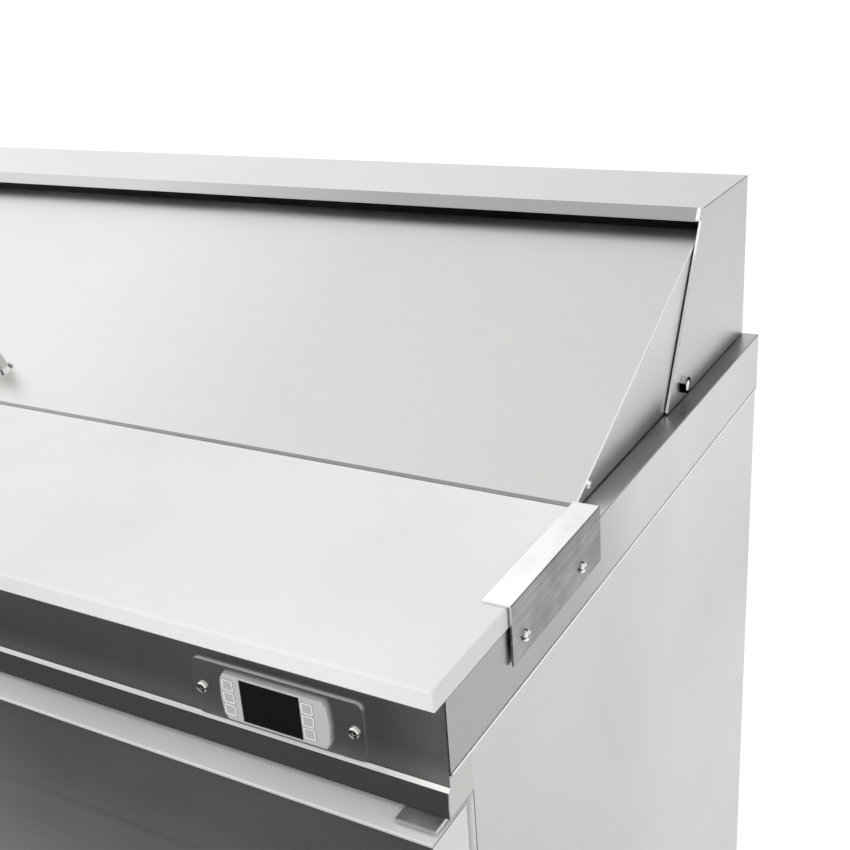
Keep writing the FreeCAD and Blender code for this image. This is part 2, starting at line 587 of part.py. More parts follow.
win = bx(xpl - 27.4, xpl + 22.6, yp - 9, yp - 1.2, P.bzz - 17.1, P.bzz + 17.1)
node("controller_housing", cut(fuse([bez, case]), wells + [win]))
dw = pad("window", "xz", [[(xpl - 27.3, P.bzz - 17.0), (xpl + 22.5, P.bzz - 17.0), (xpl + 22.5, P.bzz + 17.0), (xpl - 27.3, P.bzz + 17.0)]], 1.3, y=yp - 1.2)
node("display_window", dw)
names6 = ["key_left_low", "key_left_mid", "key_left_top", "key_right_low", "key_right_mid", "key_right_top"]
for nm, (kx, kz) in zip(names6, keys):
    k = pad(nm + "_b", "xz", [[(kx - 4.7, kz - 4.4), (kx + 4.7, kz - 4.4), (kx + 4.7, kz + 4.4), (kx - 4.7, kz + 4.4)]], 0.9, y=yp - 2.1)
    node(nm, k)

# ---------------------------------------------------------------- doors
for s, nm in ((1, "right"), (-1, "left")):
    def xr(a, b):
        """Mirrors an interval for the left door."""
        return (a, b) if s > 0 else (-b, -a)
    x0, x1 = xr(P.dx0, P.dx1)
    e = P.skin
    i0, i1 = xr(P.dx0 + P.skin, P.dx1 - P.skin)
    hx0, hx1 = xr(Q.of(52), Q.of(202))
    hz0, hz1 = Q.of(776), Q.of(832)
    bore = [cy(9, s * P.hpx, P.hpy, P.dz1 - 3, "z", 6), cy(9, s * P.hpx, P.hpy, P.dz0 - 3, "z", 6)]
    skin = cut(bx(x0, x1, P.ydoor, P.dyb - 2, P.dz0, P.dz1),
               [bx(i0, i1, P.ydoor + e, P.dyb, P.dz0 + e, P.dz1 - e), bx(hx0, hx1, P.ydoor - 2, P.ydoor + 2, hz0, hz1)] + bore)
    skin = rounded(skin, 0.7, lambda m, d, e: near(m.y, -381.0) and (near(m.z, 855.0) or near(m.z, 195.0) or near(abs(m.x), 3.0) or near(abs(m.x), 762.0)))
    node("door_skin_" + nm, skin)
    node("door_inner_panel_" + nm, cut(bx(i0, i1, P.ydoor + e, P.dyb, P.dz0 + e, P.dz1 - e),
         [bx(hx0, hx1, P.ydoor, P.ydoor + 28, hz0, hz1),
          cy(P.hpr + 0.05, s * P.hpx, P.hpy, P.dz1 - 18, "z", 20), cy(P.hpr + 0.05, s * P.hpx, P.hpy, P.dz0 - 2, "z", 20)]))
    cup = cut(bx(hx0, hx1, P.ydoor + 0.0, P.ydoor + 28, hz0, hz1),
              [bx(hx0 + 1.5, hx1 - 1.5, P.ydoor - 1, P.ydoor + 26.5, hz0 + 1.5, hz1 - 1.5)])
    lip = bx(hx0, hx1, P.ydoor, P.ydoor + 1.5, hz1 - 14, hz1)
    node("door_handle_" + nm, fuse([cup, lip]))
    g0, g1 = xr(P.dx0 + 8, P.dx1 - 18)
    k0, k1 = xr(P.dx0 + 20, P.dx1 - 30)
    node("door_gasket_" + nm, cut(bx(g0, g1, P.dyb, P.yfrm - 0.4, P.dz0 + 8, P.dz1 - 8),
                                  [bx(k0, k1, P.dyb - 1, P.yfrm + 1, P.dz0 + 20, P.dz1 - 20)]))

hp = []
for s in (1, -1):
    def xr2(a, b):
        return (a, b) if s > 0 else (-b, -a)
    u0, u1 = xr2(P.hpx - 18, P.hpx + 12)
    hp.append(fuse([bx(u0, u1, P.ydoor + 8, P.yfrm, P.dz1 + 3, P.zfas), cy(P.hpr, s * P.hpx, P.hpy, P.dz1 - 14, "z", 18)]))
    hp.append(fuse([bx(u0, u1, P.ydoor + 8, P.yfrm, P.dz0 - 6, P.dz0 - 3), cy(P.hpr, s * P.hpx, P.hpy, P.dz0 - 4, "z", 18)]))
node("hinge_plates", group(hp))

# ---------------------------------------------------------------- shelves
def wire_shelf(x0, x1, y0, y1, z):
    s = [Part.makeCylinder(3, x1 - x0, V(x0, y, z), V(1, 0, 0)) for y in (y0, y1, (y0 + y1) / 2)]
    s += [Part.makeCylinder(3, y1 - y0, V(x, y0, z), V(0, 1, 0)) for x in (x0, x1)]
    s += [Part.makeSphere(3, V(x, y, z)) for x in (x0, x1) for y in (y0, y1)]
    n = 21
    s += [Part.makeCylinder(1.6, y1 - y0, V(x0 + (x1 - x0) * k / (n + 1.0), y0, z + 3.2), V(0, 1, 0)) for k in range(1, n + 1)]
    return s[0].multiFuse(s[1:])


wl = []
for s in (1, -1):
    a, b = (32, 690) if s > 0 else (-690, -32)
    wl.append(wire_shelf(a, b, -285, 50, 520))
wobj = doc.addObject("Part::Feature", "shelves")
wobj.Shape = Part.makeCompound(wl)
node("wire_shelves", wobj)
sh = []
for s in (1, -1):
    for yy in (-250, 20):
        for xx in (s * 714.0,):
            c = bx(min(xx, xx - s * 2), max(xx, xx - s * 2), yy - 10, yy + 10, 210, 880)
            f = bx(min(xx - s * 2, xx - s * 26), max(xx - s * 2, xx - s * 26), yy - 10, yy + 10, 514, 516.8)
            sh += [c, f]
for yy in (-262,):
    sh.append(bx(-31.5, 31.5, -283, -270, 500, 516.8))
node("shelf_supports", group(sh))

# ---------------------------------------------------------------- refrigeration
fins = [bx(-250 + 12.5 * k, -249 + 12.5 * k, 215, 285, 540, 700) for k in range(41)]
tubes = [cy(5, -262, 232 + 36 * j, 560 + 40 * i, "x", 524) for i in range(4) for j in (0, 1)]
node("evaporator_coil", fuse(fins + tubes))
node("evaporator_cover", cut(bx(-270, 270, 196, 206, 530, 710), [cy(76, 0, 190, 620, "y", 30)]))


def fan(r, hub, n, depth, bore):
    s = [Part.makeCylinder(hub, depth, V(0, 0, 0), V(0, 1, 0))]
    for k in range(n):
        b = Part.makeBox(r - hub * 0.7, 1.6, r * 0.55, V(hub * 0.7, depth / 2 - 0.8, -r * 0.275))
        b.rotate(V(0, depth / 2, 0), V(1, 0, 0), 32)
        b = b.common(Part.makeCylinder(r, depth * 4, V(0, -depth * 1.5, 0), V(0, 1, 0)))
        b.rotate(V(0, 0, 0), V(0, 1, 0), 360.0 * k / n)
        s.append(b)
    f = s[0].multiFuse(s[1:])
    return f.cut(Part.makeCylinder(bore, depth * 0.7, V(0, depth * 0.31, 0), V(0, 1, 0)))


ev = doc.addObject("Part::Feature", "efan")
f1 = fan(70, 18, 5, 14, 3.05)
f1.translate(V(0, 170, 620))
ev.Shape = f1
node("evaporator_fan", ev)
cf = doc.addObject("Part::Feature", "cfan")
f2 = fan(105, 22, 5, 16, 3.05)
f2.translate(V(-330, 196, 290))
cf.Shape = f2
node("condenser_fan", cf)
node("fan_motors", group([
    fuse([cy(24, 0, 190, 620, "y", 19), cy(3, 0, 176, 620, "y", 16), bx(-80, 80, 196, 199, 614, 626)]),
    fuse([cy(26, -330, 224, 290, "y", 30), cy(3, -330, 204, 290, "y", 24), bx(-336, -324, 232, 246, 166.5, 290)])]))
FINAL["evaporator_cover"].Label = "x_cover"
node("evaporator_cover", cut(FINAL["evaporator_cover"], [bx(-81, 81, 195, 200, 613, 627)]))
cfins = [bx(-450 + 10 * k, -449 + 10 * k, 136, 176, 180, 400) for k in range(25)]
ctub = [cy(4, -458, 146 + 20 * j, 200 + 30 * i, "x", 256) for i in range(7) for j in (0, 1)]
node("condenser_coil", fuse(cfins + ctub + [bx(-455, -453, 136, 176, 166.5, 400), bx(-207, -205, 136, 176, 166.5, 400)]))
co = doc.addObject("PartDesign::Body", "comp")
sk = sketch_on(co, "xz", "sk_comp", [[(0, 176), (88, 176), (96, 200), (96, 280), (84, 318), (40, 338), (0, 341)]])
doc.recompute()
rv = co.newObject("PartDesign::Revolution", "rv_comp")
rv.Profile = sk
rv.ReferenceAxis = (sk, ["V_Axis"])
rv.Angle = 360
co.Tip = rv
place(co, 180, 225, 0)
node("compressor", fuse([co] + [cy(9, 180 + a, 225 + b, 166.5, "z", 14) for a in (-60, 60) for b in (-60, 60)]))
node("machine_tray", fuse([bx(-480, 480, 118, 330, 163.5, 166.5), bx(-470, -440, 118, 330, P.zbase + 1.5, 164), bx(440, 470, 118, 330, P.zbase + 1.5, 164)]))
# louvred rear grille
slots = []
for row in range(9):
    for c0 in (-640, -310, 20, 350):
        slots.append(bx(c0, c0 + 290, 330, 360, 190 + 26 * row, 196 + 26 * row))
slots = [q for n_, q in enumerate(slots) if n_ % 4 != 3 or n_ < 28] + [bx(579.8, 620.2, 330, 360, 383.8, 418.2)]
node("rear_grille", cut(bx(-xi, xi, P.yrear - tk - P.skin, P.yrear - tk, P.zbase + 1.5, P.zmc), slots))
inlet = cut(fuse([bx(560, 640, 296, P.yrear - tk - P.skin, 372, 430), bx(580, 620, P.yrear - tk - P.skin, P.yrear + 2, 384, 418)]), [bx(585, 615, P.yrear - 14, P.yrear + 6, 389, 413)])
node("power_inlet", inlet)
node("rear_spacers", group([bx(-560, -520, P.yrear, 381, 904, 944), bx(520, 560, P.yrear, 381, 904, 944)]))

# ---------------------------------------------------------------- casters
spots = [("front_left", -1, P.cyf), ("front_right", 1, P.cyf), ("rear_left", -1, P.cyr), ("rear_right", 1, P.cyr)]
plates = []
wr = P.wr
for nm, s, yc in spots:
    X = s * P.cx
    plates.append(fuse([bx(X - 47, X + 47, yc - 40, yc + 40, P.zbase - 3, P.zbase), cy(27, X, yc, P.zbase - 11, "z", 9)]))
    ya = yc + P.trail
    zk = P.zbase - 11.3
    hwz = P.ww / 2 + 2.5
    legs = []
    for q in (-1, 1):
        xa, xb = (X + hwz, X + hwz + 3) if q > 0 else (X - hwz - 3, X - hwz)
        prof_leg = [(yc - 24, zk - 3), (yc - 24, zk), (yc + 26, zk), (ya + 18, zk - 30), (ya + 13, wr - 13), (ya - 13, wr - 13), (yc - 2, wr + 22)]
        legs.append(pad("leg", "yz", [prof_leg], 3, x=xa))
    crown = fuse([cy(30, X, yc, zk - 3.2, "z", 3.2), bx(X - hwz - 3, X + hwz + 3, yc - 22, yc + 26, zk - 3, zk)])
    fork = cut(fuse([crown] + legs), [cy(P.axr, X - 40, ya, wr, "x", 80)])
    axle = fuse([cy(P.axr, X - hwz - 6, ya, wr, "x", P.ww + 17), cy(8, X - hwz - 8, ya, wr, "x", 5), cy(8, X + hwz + 3, ya, wr, "x", 5)])
    node("caster_fork_" + nm, group([fork, axle]))
    wb = doc.addObject("PartDesign::Body", uname("wheel"))
    h2 = P.ww / 2
    sk = sketch_on(wb, "xz", uname("sk"), [[(-h2 - 2, P.axr + 0.06), (h2 + 2, P.axr + 0.06), (h2 + 2, 14), (h2 - 5, 16), (h2 - 5, 42), (h2 - 1, 46), (h2 - 1, wr - 4), (h2 - 5, wr),
                                            (-h2 + 5, wr), (-h2 + 1, wr - 4), (-h2 + 1, 46), (-h2 + 5, 42), (-h2 + 5, 16), (-h2 - 2, 14)]])
    doc.recompute()
    r_ = wb.newObject("PartDesign::Revolution", uname("rev"))
    r_.Profile = sk
    r_.ReferenceAxis = (sk, ["H_Axis"])
    r_.Angle = 360
    wb.Tip = r_
    place(wb, X, ya, wr)
    node("caster_wheel_" + nm, wb)
node("caster_plates", group(plates))

# ---------------------------------------------------------------- checks and export
doc.recompute()
bad = [o.Name + " " + ",".join(o.State) for o in doc.Objects if any(k in o.State for k in ("Invalid", "Error"))]
if bad:
    raise RuntimeError("failed objects: " + "; ".join(bad))
print("nodes", len(FINAL))
for label, o in sorted(FINAL.items()):
    o.Label = label
    sh = o.Shape
    if sh.isNull() or not sh.isValid() or not sh.Solids:
        raise RuntimeError("bad shape in " + label)
    print("%-28s solids %2d  vol %12.1f" % (label, len(sh.Solids), sh.Volume))
    sh.exportStep(os.path.join("parts", label + ".step"))
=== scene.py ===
import bpy, bmesh, math
from mathutils import Matrix, Vector


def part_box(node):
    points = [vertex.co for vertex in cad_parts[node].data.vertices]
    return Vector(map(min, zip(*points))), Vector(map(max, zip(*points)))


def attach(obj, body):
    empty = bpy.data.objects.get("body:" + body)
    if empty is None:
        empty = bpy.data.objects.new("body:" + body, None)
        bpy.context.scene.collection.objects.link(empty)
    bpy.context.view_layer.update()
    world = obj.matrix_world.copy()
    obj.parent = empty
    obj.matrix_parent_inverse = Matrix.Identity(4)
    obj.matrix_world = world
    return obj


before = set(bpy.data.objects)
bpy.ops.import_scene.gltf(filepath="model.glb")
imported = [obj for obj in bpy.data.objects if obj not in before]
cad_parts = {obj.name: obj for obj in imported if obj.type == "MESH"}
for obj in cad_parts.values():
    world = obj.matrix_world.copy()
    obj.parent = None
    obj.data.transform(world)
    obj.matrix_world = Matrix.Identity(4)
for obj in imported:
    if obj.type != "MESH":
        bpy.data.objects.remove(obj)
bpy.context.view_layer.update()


scene = bpy.context.scene

# ------------------------------------------------------------------ camera
cam_data = bpy.data.cameras.new("cam")
cam = bpy.data.objects.new("cam", cam_data)
scene.collection.objects.link(cam)
right = Vector((0.8698137621240176, 0.4885616808216255, -0.06878592335944514))
up = Vector((-0.13546250605871762, 0.370543629709657, 0.9188837401618797))
back = Vector((0.4744195702876888, -0.7899398094249592, 0.3884857382372023))
cam.matrix_world = Matrix(((right.x, up.x, back.x, 1.08005), (right.y, up.y, back.y, -0.88208), (right.z, up.z, back.z, 1.39210), (0, 0, 0, 1)))
cam_data.sensor_width = 36.0
cam_data.lens = 51.166
cam_data.clip_start = 0.02
cam_data.clip_end = 200
scene.camera = cam


# ------------------------------------------------------------------ materials
class Mat:
    """Small helper around one node tree."""
    def __init__(self, name):
        self.m = bpy.data.materials.new(name)
        self.m.use_nodes = True
        self.nt = self.m.node_tree
        self.b = self.nt.nodes["Principled BSDF"]
        self.tc = self.nt.nodes.new("ShaderNodeTexCoord")

    def set(self, **kw):
        for k, v in kw.items():
            self.b.inputs[k.replace("_", " ")].default_value = v
        return self

    def mapping(self, scale, rot=(0, 0, 0)):
        n = self.nt.nodes.new("ShaderNodeMapping")
        n.inputs["Scale"].default_value = scale
        n.inputs["Rotation"].default_value = rot
        self.nt.links.new(self.tc.outputs["Object"], n.inputs["Vector"])
        return n.outputs["Vector"]

    def noise(self, vec, scale, detail=4, rough=0.55):
        n = self.nt.nodes.new("ShaderNodeTexNoise")
        n.inputs["Scale"].default_value = scale
        n.inputs["Detail"].default_value = detail
        n.inputs["Roughness"].default_value = rough
        self.nt.links.new(vec, n.inputs["Vector"])
        return n.outputs["Fac"]

    def ramp(self, fac, stops):
        n = self.nt.nodes.new("ShaderNodeValToRGB")
        el = n.color_ramp.elements
        el[0].position, el[0].color = stops[0][0], stops[0][1]
        el[1].position, el[1].color = stops[-1][0], stops[-1][1]
        for p, c in stops[1:-1]:
            e = el.new(p)
            e.color = c
        self.nt.links.new(fac, n.inputs["Fac"])
        return n.outputs["Color"]

    def rng(self, fac, a, b, lo=0.0, hi=1.0):
        n = self.nt.nodes.new("ShaderNodeMapRange")
        for k, v in (("From Min", lo), ("From Max", hi), ("To Min", a), ("To Max", b)):
            n.inputs[k].default_value = v
        self.nt.links.new(fac, n.inputs["Value"])
        return n.outputs["Result"]

    def math(self, op, a, b):
        n = self.nt.nodes.new("ShaderNodeMath")
        n.operation = op
        for i, q in enumerate((a, b)):
            if isinstance(q, (int, float)):
                n.inputs[i].default_value = q
            else:
                self.nt.links.new(q, n.inputs[i])
        return n.outputs[0]

    def paint_light_and_shade(self, col, painted_light_marks):
        """Paint light and shade into a colour by multiplying it: each mark is (faces looking along this axis or None,
        axis, place0, gain0, place1, gain1); gains below 1 are painted shade, gains above 1 painted highlight, and the
        face fold puts a painted highlight on tilted faces.
        """
        g = self.nt.nodes.new("ShaderNodeNewGeometry")
        sn = self.nt.nodes.new("ShaderNodeSeparateXYZ")
        self.nt.links.new(g.outputs["True Normal"], sn.inputs[0])
        so = self.nt.nodes.new("ShaderNodeSeparateXYZ")
        self.nt.links.new(self.tc.outputs["Object"], so.inputs[0])
        # Each mark paints shade or a highlight as a gain ramp along one object axis.
        for face, ax, p0, g0, p1, g1 in painted_light_marks:
            f = self.rng(so.outputs[ax], g0, g1, p0, p1)
            # fold: painted highlight on faces tilted partway towards X, the rounded side folds of the lid.
            if face == "fold":
                ax_n = self.math("ABSOLUTE", sn.outputs["X"], 0)
                k = self.math("MULTIPLY", self.rng(ax_n, 0.0, 1.0, 0.04, 0.12), self.rng(ax_n, 1.0, 0.0, 0.95, 0.99))
                f = self.math("ADD", 1.0, self.math("MULTIPLY", k, self.math("SUBTRACT", f, 1.0)))
            elif face:
                k = self.rng(self.math("ABSOLUTE", sn.outputs[face], 0), 0.0, 1.0, 0.55, 0.75)
                f = self.math("ADD", 1.0, self.math("MULTIPLY", k, self.math("SUBTRACT", f, 1.0)))
            v = self.nt.nodes.new("ShaderNodeVectorMath")
            v.operation = "SCALE"
            self.nt.links.new(col, v.inputs[0])
            self.nt.links.new(f, v.inputs["Scale"])
            col = v.outputs[0]
        return col

    def bump(self, h, strength, dist):
        n = self.nt.nodes.new("ShaderNodeBump")
        n.inputs["Strength"].default_value = strength
        n.inputs["Distance"].default_value = dist
        self.nt.links.new(h, n.inputs["Height"])
        self.nt.links.new(n.outputs["Normal"], self.b.inputs["Normal"])

    def to(self, out, sock):
        self.nt.links.new(out, self.b.inputs[sock])


def steel(name, grain, tint=(0.62, 0.62, 0.615), r0=0.26, r1=0.40, bump=0.06, smudge=0.05, painted_light_marks=()):
    """Brushed stainless: long fine streaks along one axis, faint handling smudges, and painted light and shade from
    the marks.
    """
    m = Mat(name)
    m.set(Metallic=1.0)
    long_, short = 1.6, 900.0
    sc = {"x": (long_, short, short), "y": (short, long_, short), "z": (short, short, long_)}[grain]
    v = m.mapping(sc)
    fine = m.noise(v, 1.0, 5, 0.7)
    sc2 = {"x": (0.7, 120, 120), "y": (120, 0.7, 120), "z": (120, 120, 0.7)}[grain]
    band = m.noise(m.mapping(sc2), 1.0, 3, 0.6)
    cloud = m.noise(m.mapping((3.2, 3.2, 3.2)), 1.0, 4, 0.6)
    mix = m.math("ADD", m.math("MULTIPLY", fine, 0.6), m.math("MULTIPLY", band, 0.4))
    rough = m.math("ADD", m.rng(mix, r0, r1, 0.25, 0.75), m.rng(cloud, -smudge, smudge, 0.3, 0.7))
    m.to(rough, "Roughness")
    c0 = tuple(t * 0.955 for t in tint) + (1,)
    c1 = tuple(min(1, t * 1.035) for t in tint) + (1,)
    col = m.ramp(m.math("ADD", m.math("MULTIPLY", mix, 0.7), m.math("MULTIPLY", cloud, 0.3)), [(0.3, c0), (0.7, c1)])
    # Base colour carries the painted shade and painted highlights of the marks, when given.
    m.to(m.paint_light_and_shade(col, painted_light_marks) if painted_light_marks else col, "Base Color")
    m.bump(fine, bump, 0.0001)
    return m.m


def plastic(name, col, rough=0.4, spec=0.5, grainy=0.04, scale=900, coat=0.0):
    m = Mat(name)
    m.set(Metallic=0.0)
    m.b.inputs["Specular IOR Level"].default_value = spec
    m.b.inputs["Coat Weight"].default_value = coat
    n = m.noise(m.mapping((1, 1, 1)), scale, 3, 0.6)
    big = m.noise(m.mapping((1, 1, 1)), 6, 3, 0.5)
    c0 = tuple(c * 0.94 for c in col) + (1,)
    c1 = tuple(min(1, c * 1.04) for c in col) + (1,)
    m.to(m.ramp(big, [(0.3, c0), (0.7, c1)]), "Base Color")
    m.to(m.rng(big, rough - 0.05, rough + 0.06, 0.3, 0.7), "Roughness")
    m.bump(n, grainy, 0.0003)
    return m.m


def metal(name, col, rough, scale=250, bump=0.05, coat=0.0):
    m = Mat(name)
    m.set(Metallic=1.0)
    n = m.noise(m.mapping((1, 1, 1)), scale, 4, 0.6)
    c0 = tuple(c * 0.88 for c in col) + (1,)
    c1 = tuple(min(1, c * 1.06) for c in col) + (1,)
    m.to(m.ramp(n, [(0.3, c0), (0.7, c1)]), "Base Color")
    m.to(m.rng(n, rough * 0.8, rough * 1.25, 0.3, 0.7), "Roughness")
    m.bump(n, bump, 0.0003)
    return m.m


def steel_clip():
    """Brushed sheet with a painted highlight on its top and painted shade on its X-facing folded leg, plus random
    mottling.
    """
    m = Mat("steel_clip")
    m.set(Metallic=1.0)
    fine = m.noise(m.mapping((900, 3, 900)), 1.0, 5, 0.7)
    m.to(m.rng(fine, 0.30, 0.46, 0.25, 0.75), "Roughness")
    g = m.nt.nodes.new("ShaderNodeNewGeometry")
    sp = m.nt.nodes.new("ShaderNodeSeparateXYZ")
    m.nt.links.new(g.outputs["Normal"], sp.inputs[0])
    cloud = m.noise(m.mapping((14, 9, 14)), 1.0, 5, 0.65)
    # Painted light and shade: colour runs from white on up-facing faces to dark on X-facing faces.
    k = m.math("ADD", m.math("MULTIPLY", m.math("ABSOLUTE", sp.outputs["X"], 0), 0.74), m.math("MULTIPLY", fine, 0.14))
    k = m.math("ADD", k, m.rng(cloud, -0.05, 0.20, 0.35, 0.70))
    m.to(m.ramp(k, [(0.1, (1.0, 1.0, 0.995, 1)), (0.9, (0.20, 0.198, 0.196, 1))]), "Base Color")
    m.bump(fine, 0.06, 0.0001)
    return m.m


MS = {
    "steel_clip": steel_clip(),
    "steel_x": steel("steel_x", "x"),
    # steel_lid: painted shade towards +X, painted shade low and painted highlight high on the X-facing cheeks, painted
    # highlight (x1.9) along the rounded folds.
    "steel_lid": steel("steel_lid", "x", tint=(0.665, 0.665, 0.655), r0=0.30, r1=0.42,
                       painted_light_marks=((None, "X", 0.10, 1.0, 0.42, 0.87), ("X", "Z", 0.96, 0.82, 1.05, 1.06), ("fold", "Z", 0.95, 1.9, 1.1, 1.9))),
    # steel_hood: painted shade on the X-facing sides, and painted shade on the front faces deepening towards +X.
    "steel_hood": steel("steel_hood", "x", tint=(0.68, 0.68, 0.69), r0=0.30, r1=0.42,
                        painted_light_marks=(("X", "Z", 0.95, 0.80, 1.1, 0.78), ("Y", "X", 0.05, 0.84, 0.40, 0.54))),
    # steel_fascia: painted highlight (up to x1.7) on the front faces at the right end, painted shade on the X-facing
    # faces.
    "steel_fascia": steel("steel_fascia", "x", tint=(0.58, 0.58, 0.565), r0=0.36, r1=0.44, painted_light_marks=(("Y", "X", 0.715, 1.0, 0.755, 1.70), ("X", "Z", 0.8, 0.85, 0.9, 0.85))),
    # steel_side: painted shade lower down and towards the front of the side panels.
    "steel_side": steel("steel_side", "z", tint=(0.56, 0.556, 0.572), r0=0.30, r1=0.42, smudge=0.07,
                        painted_light_marks=((None, "Z", 0.70, 0.93, 0.92, 1.05), (None, "Y", -0.30, 0.90, 0.10, 1.02))),
    # steel_rim: painted highlight on the front of the top, painted shade at its rear and on the X-facing flanges,
    # deepest at their front.
    "steel_rim": steel("steel_rim", "y", tint=(0.62, 0.612, 0.605), r0=0.24, r1=0.36, smudge=0.09,
                       painted_light_marks=(("X", "Z", 0.90, 0.86, 0.95, 0.90), ("X", "Y", -0.16, 0.62, -0.02, 1.0), ("Z", "Y", -0.16, 1.62, 0.22, 0.80))),
    "steel_plate": steel("steel_plate", "x", tint=(0.66, 0.665, 0.65), r0=0.34, r1=0.42),
    "steel_door": steel("steel_door", "x", tint=(0.60, 0.60, 0.595), r0=0.32, r1=0.42, bump=0.03, smudge=0.03),
    "galv": metal("galv", (0.62, 0.64, 0.66), 0.42, 60),
    "bolt": metal("bolt", (0.93, 0.92, 0.90), 0.34, 400, 0.04),
    "chrome": metal("chrome", (0.80, 0.79, 0.77), 0.14, 500, 0.03),
    "liner": metal("liner", (0.80, 0.81, 0.82), 0.38, 220, 0.35),
    "hdpe": plastic("hdpe", (0.64, 0.643, 0.647), 0.48, 0.3, 0.06, 1400),
    "bezel": plastic("bezel", (0.40, 0.405, 0.415), 0.35, 0.5, 0.04),
    "keys": plastic("keys", (0.36, 0.37, 0.38), 0.40, 0.5, 0.04),
    "window": plastic("window", (0.006, 0.006, 0.008), 0.08, 0.6, 0.0, coat=0.6),
    "abs": plastic("abs", (0.82, 0.82, 0.81), 0.35, 0.5, 0.05),
    "gasket": plastic("gasket", (0.16, 0.165, 0.17), 0.55, 0.4, 0.08),
    "black": plastic("black", (0.02, 0.02, 0.021), 0.42, 0.5, 0.08),
    "enamel": plastic("enamel", (0.012, 0.012, 0.013), 0.25, 0.6, 0.03, coat=0.4),
    "tyre": plastic("tyre", (0.06, 0.06, 0.065), 0.55, 0.4, 0.08),
    "foam": plastic("foam", (0.75, 0.66, 0.42), 0.85, 0.2, 0.5, 500),
    "fins": metal("fins", (0.78, 0.79, 0.81), 0.32, 400),
}
ASSIGN = {
    "worktop_rim": "steel_rim", "rear_hood": "steel_hood", "lid_panel": "steel_lid", "lid_inner_panel": "steel_x", "side_panels": "steel_side",
    "fascia_panel": "steel_fascia", "control_plate": "steel_plate", "board_clips": "steel_clip", "pan_divider_bars": "steel_x",
    "food_pans": "steel_x", "cutting_board": "hdpe", "controller_housing": "bezel", "display_window": "window",
    "clip_screws": "chrome", "control_plate_screws": "chrome", "lid_screws": "bolt", "lid_pivot_bolts": "bolt", "lid_handle": "chrome",
    "wire_shelves": "chrome", "inner_liner": "liner", "insulation_panels": "foam", "front_frame": "abs", "back_panel": "galv", "base_pan": "steel_x",
    "shelf_supports": "steel_x", "hinge_plates": "galv", "rear_grille": "galv", "rear_spacers": "galv", "machine_tray": "galv",
    "evaporator_coil": "fins", "condenser_coil": "fins", "evaporator_cover": "abs", "evaporator_fan": "black", "condenser_fan": "black",
    "fan_motors": "enamel", "compressor": "enamel", "power_inlet": "black", "caster_plates": "galv",
}
for n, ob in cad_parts.items():
    key = ASSIGN.get(n)
    if key is None:
        key = ("keys" if n.startswith("key_") else "tyre" if n.startswith("caster_wheel") else "galv" if n.startswith("caster_fork") else
               "steel_door" if n.startswith("door_skin") else "abs" if n.startswith("door_inner") else "gasket" if n.startswith("door_gasket") else "black")
    if not ob.material_slots:
        ob.data.materials.append(MS[key])
    for s in ob.material_slots:
        s.material = MS[key]


# ------------------------------------------------------------------ printed key outlines
def ring_mesh(name, x0, x1, z0, z1, y, w, t, r=0.0012, seg=6):
    """Thin rounded rectangle outline standing t proud of the plane y, facing -Y."""
    bm = bmesh.new()

    def loop(i, yy):
        pts = []
        rr = max(r - i, 0.0002)
        for cx, cz, a0 in ((x1 - i - rr, z1 - i - rr, 0), (x0 + i + rr, z1 - i - rr, 90), (x0 + i + rr, z0 + i + rr, 180), (x1 - i - rr, z0 + i + rr, 270)):
            for k in range(seg + 1):
                a = math.radians(a0 + 90.0 * k / seg)
                pts.append(bm.verts.new((cx + rr * math.cos(a), yy, cz + rr * math.sin(a))))
        return pts
    lo, li, ho, hi = loop(0, y), loop(w, y), loop(0, y - t), loop(w, y - t)
    n = len(lo)
    for k in range(n):
        j = (k + 1) % n
        bm.faces.new((ho[k], ho[j], hi[j], hi[k]))
        bm.faces.new((lo[k], lo[j], ho[j], ho[k]))
        bm.faces.new((li[j], li[k], hi[k], hi[j]))
        bm.faces.new((lo[j], lo[k], li[k], li[j]))
    bmesh.ops.recalc_face_normals(bm, faces=bm.faces)
    me = bpy.data.meshes.new(name)
    bm.to_mesh(me)
    bm.free()
    ob = bpy.data.objects.new(name, me)
    scene.collection.objects.link(ob)
    return ob


ink = plastic("ink", (0.74, 0.75, 0.76), 0.4, 0.4, 0.02)
for kn in ("key_left_low", "key_left_mid", "key_left_top", "key_right_low", "key_right_mid", "key_right_top"):
    lo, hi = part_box(kn)
    o = ring_mesh(kn + "_outline", lo[0] + 0.0002, hi[0] - 0.0002, lo[2] + 0.0002, hi[2] - 0.0002, lo[1] + 0.00002, 0.0006, 0.00012)
    o.data.materials.append(ink)
    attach(o, kn)

# ------------------------------------------------------------------ white caps on the door tops
def slab(name, x0, x1, y0, y1, z0, z1, bev):
    bm = bmesh.new()
    bmesh.ops.create_cube(bm, size=1.0)
    for v in bm.verts:
        v.co = Vector((x0 + (v.co.x + 0.5) * (x1 - x0), y0 + (v.co.y + 0.5) * (y1 - y0), z0 + (v.co.z + 0.5) * (z1 - z0)))
    bmesh.ops.bevel(bm, geom=list(bm.edges), offset=bev, segments=3, affect="EDGES", profile=0.6)
    me = bpy.data.meshes.new(name)
    bm.to_mesh(me)
    bm.free()
    ob = bpy.data.objects.new(name, me)
    scene.collection.objects.link(ob)
    return ob


capm = plastic("door_cap", (0.66, 0.675, 0.655), 0.38, 0.5, 0.05)
for side in ("right", "left"):
    lo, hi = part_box("door_skin_" + side)
    c = slab("door_top_cap_" + side, lo[0] + 0.0008, hi[0] - 0.0008, lo[1] + 0.0009, hi[1] + 0.0015, hi[2] - 0.0004, hi[2] + 0.0012, 0.0005)
    c.data.materials.append(capm)
    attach(c, "door_" + side)

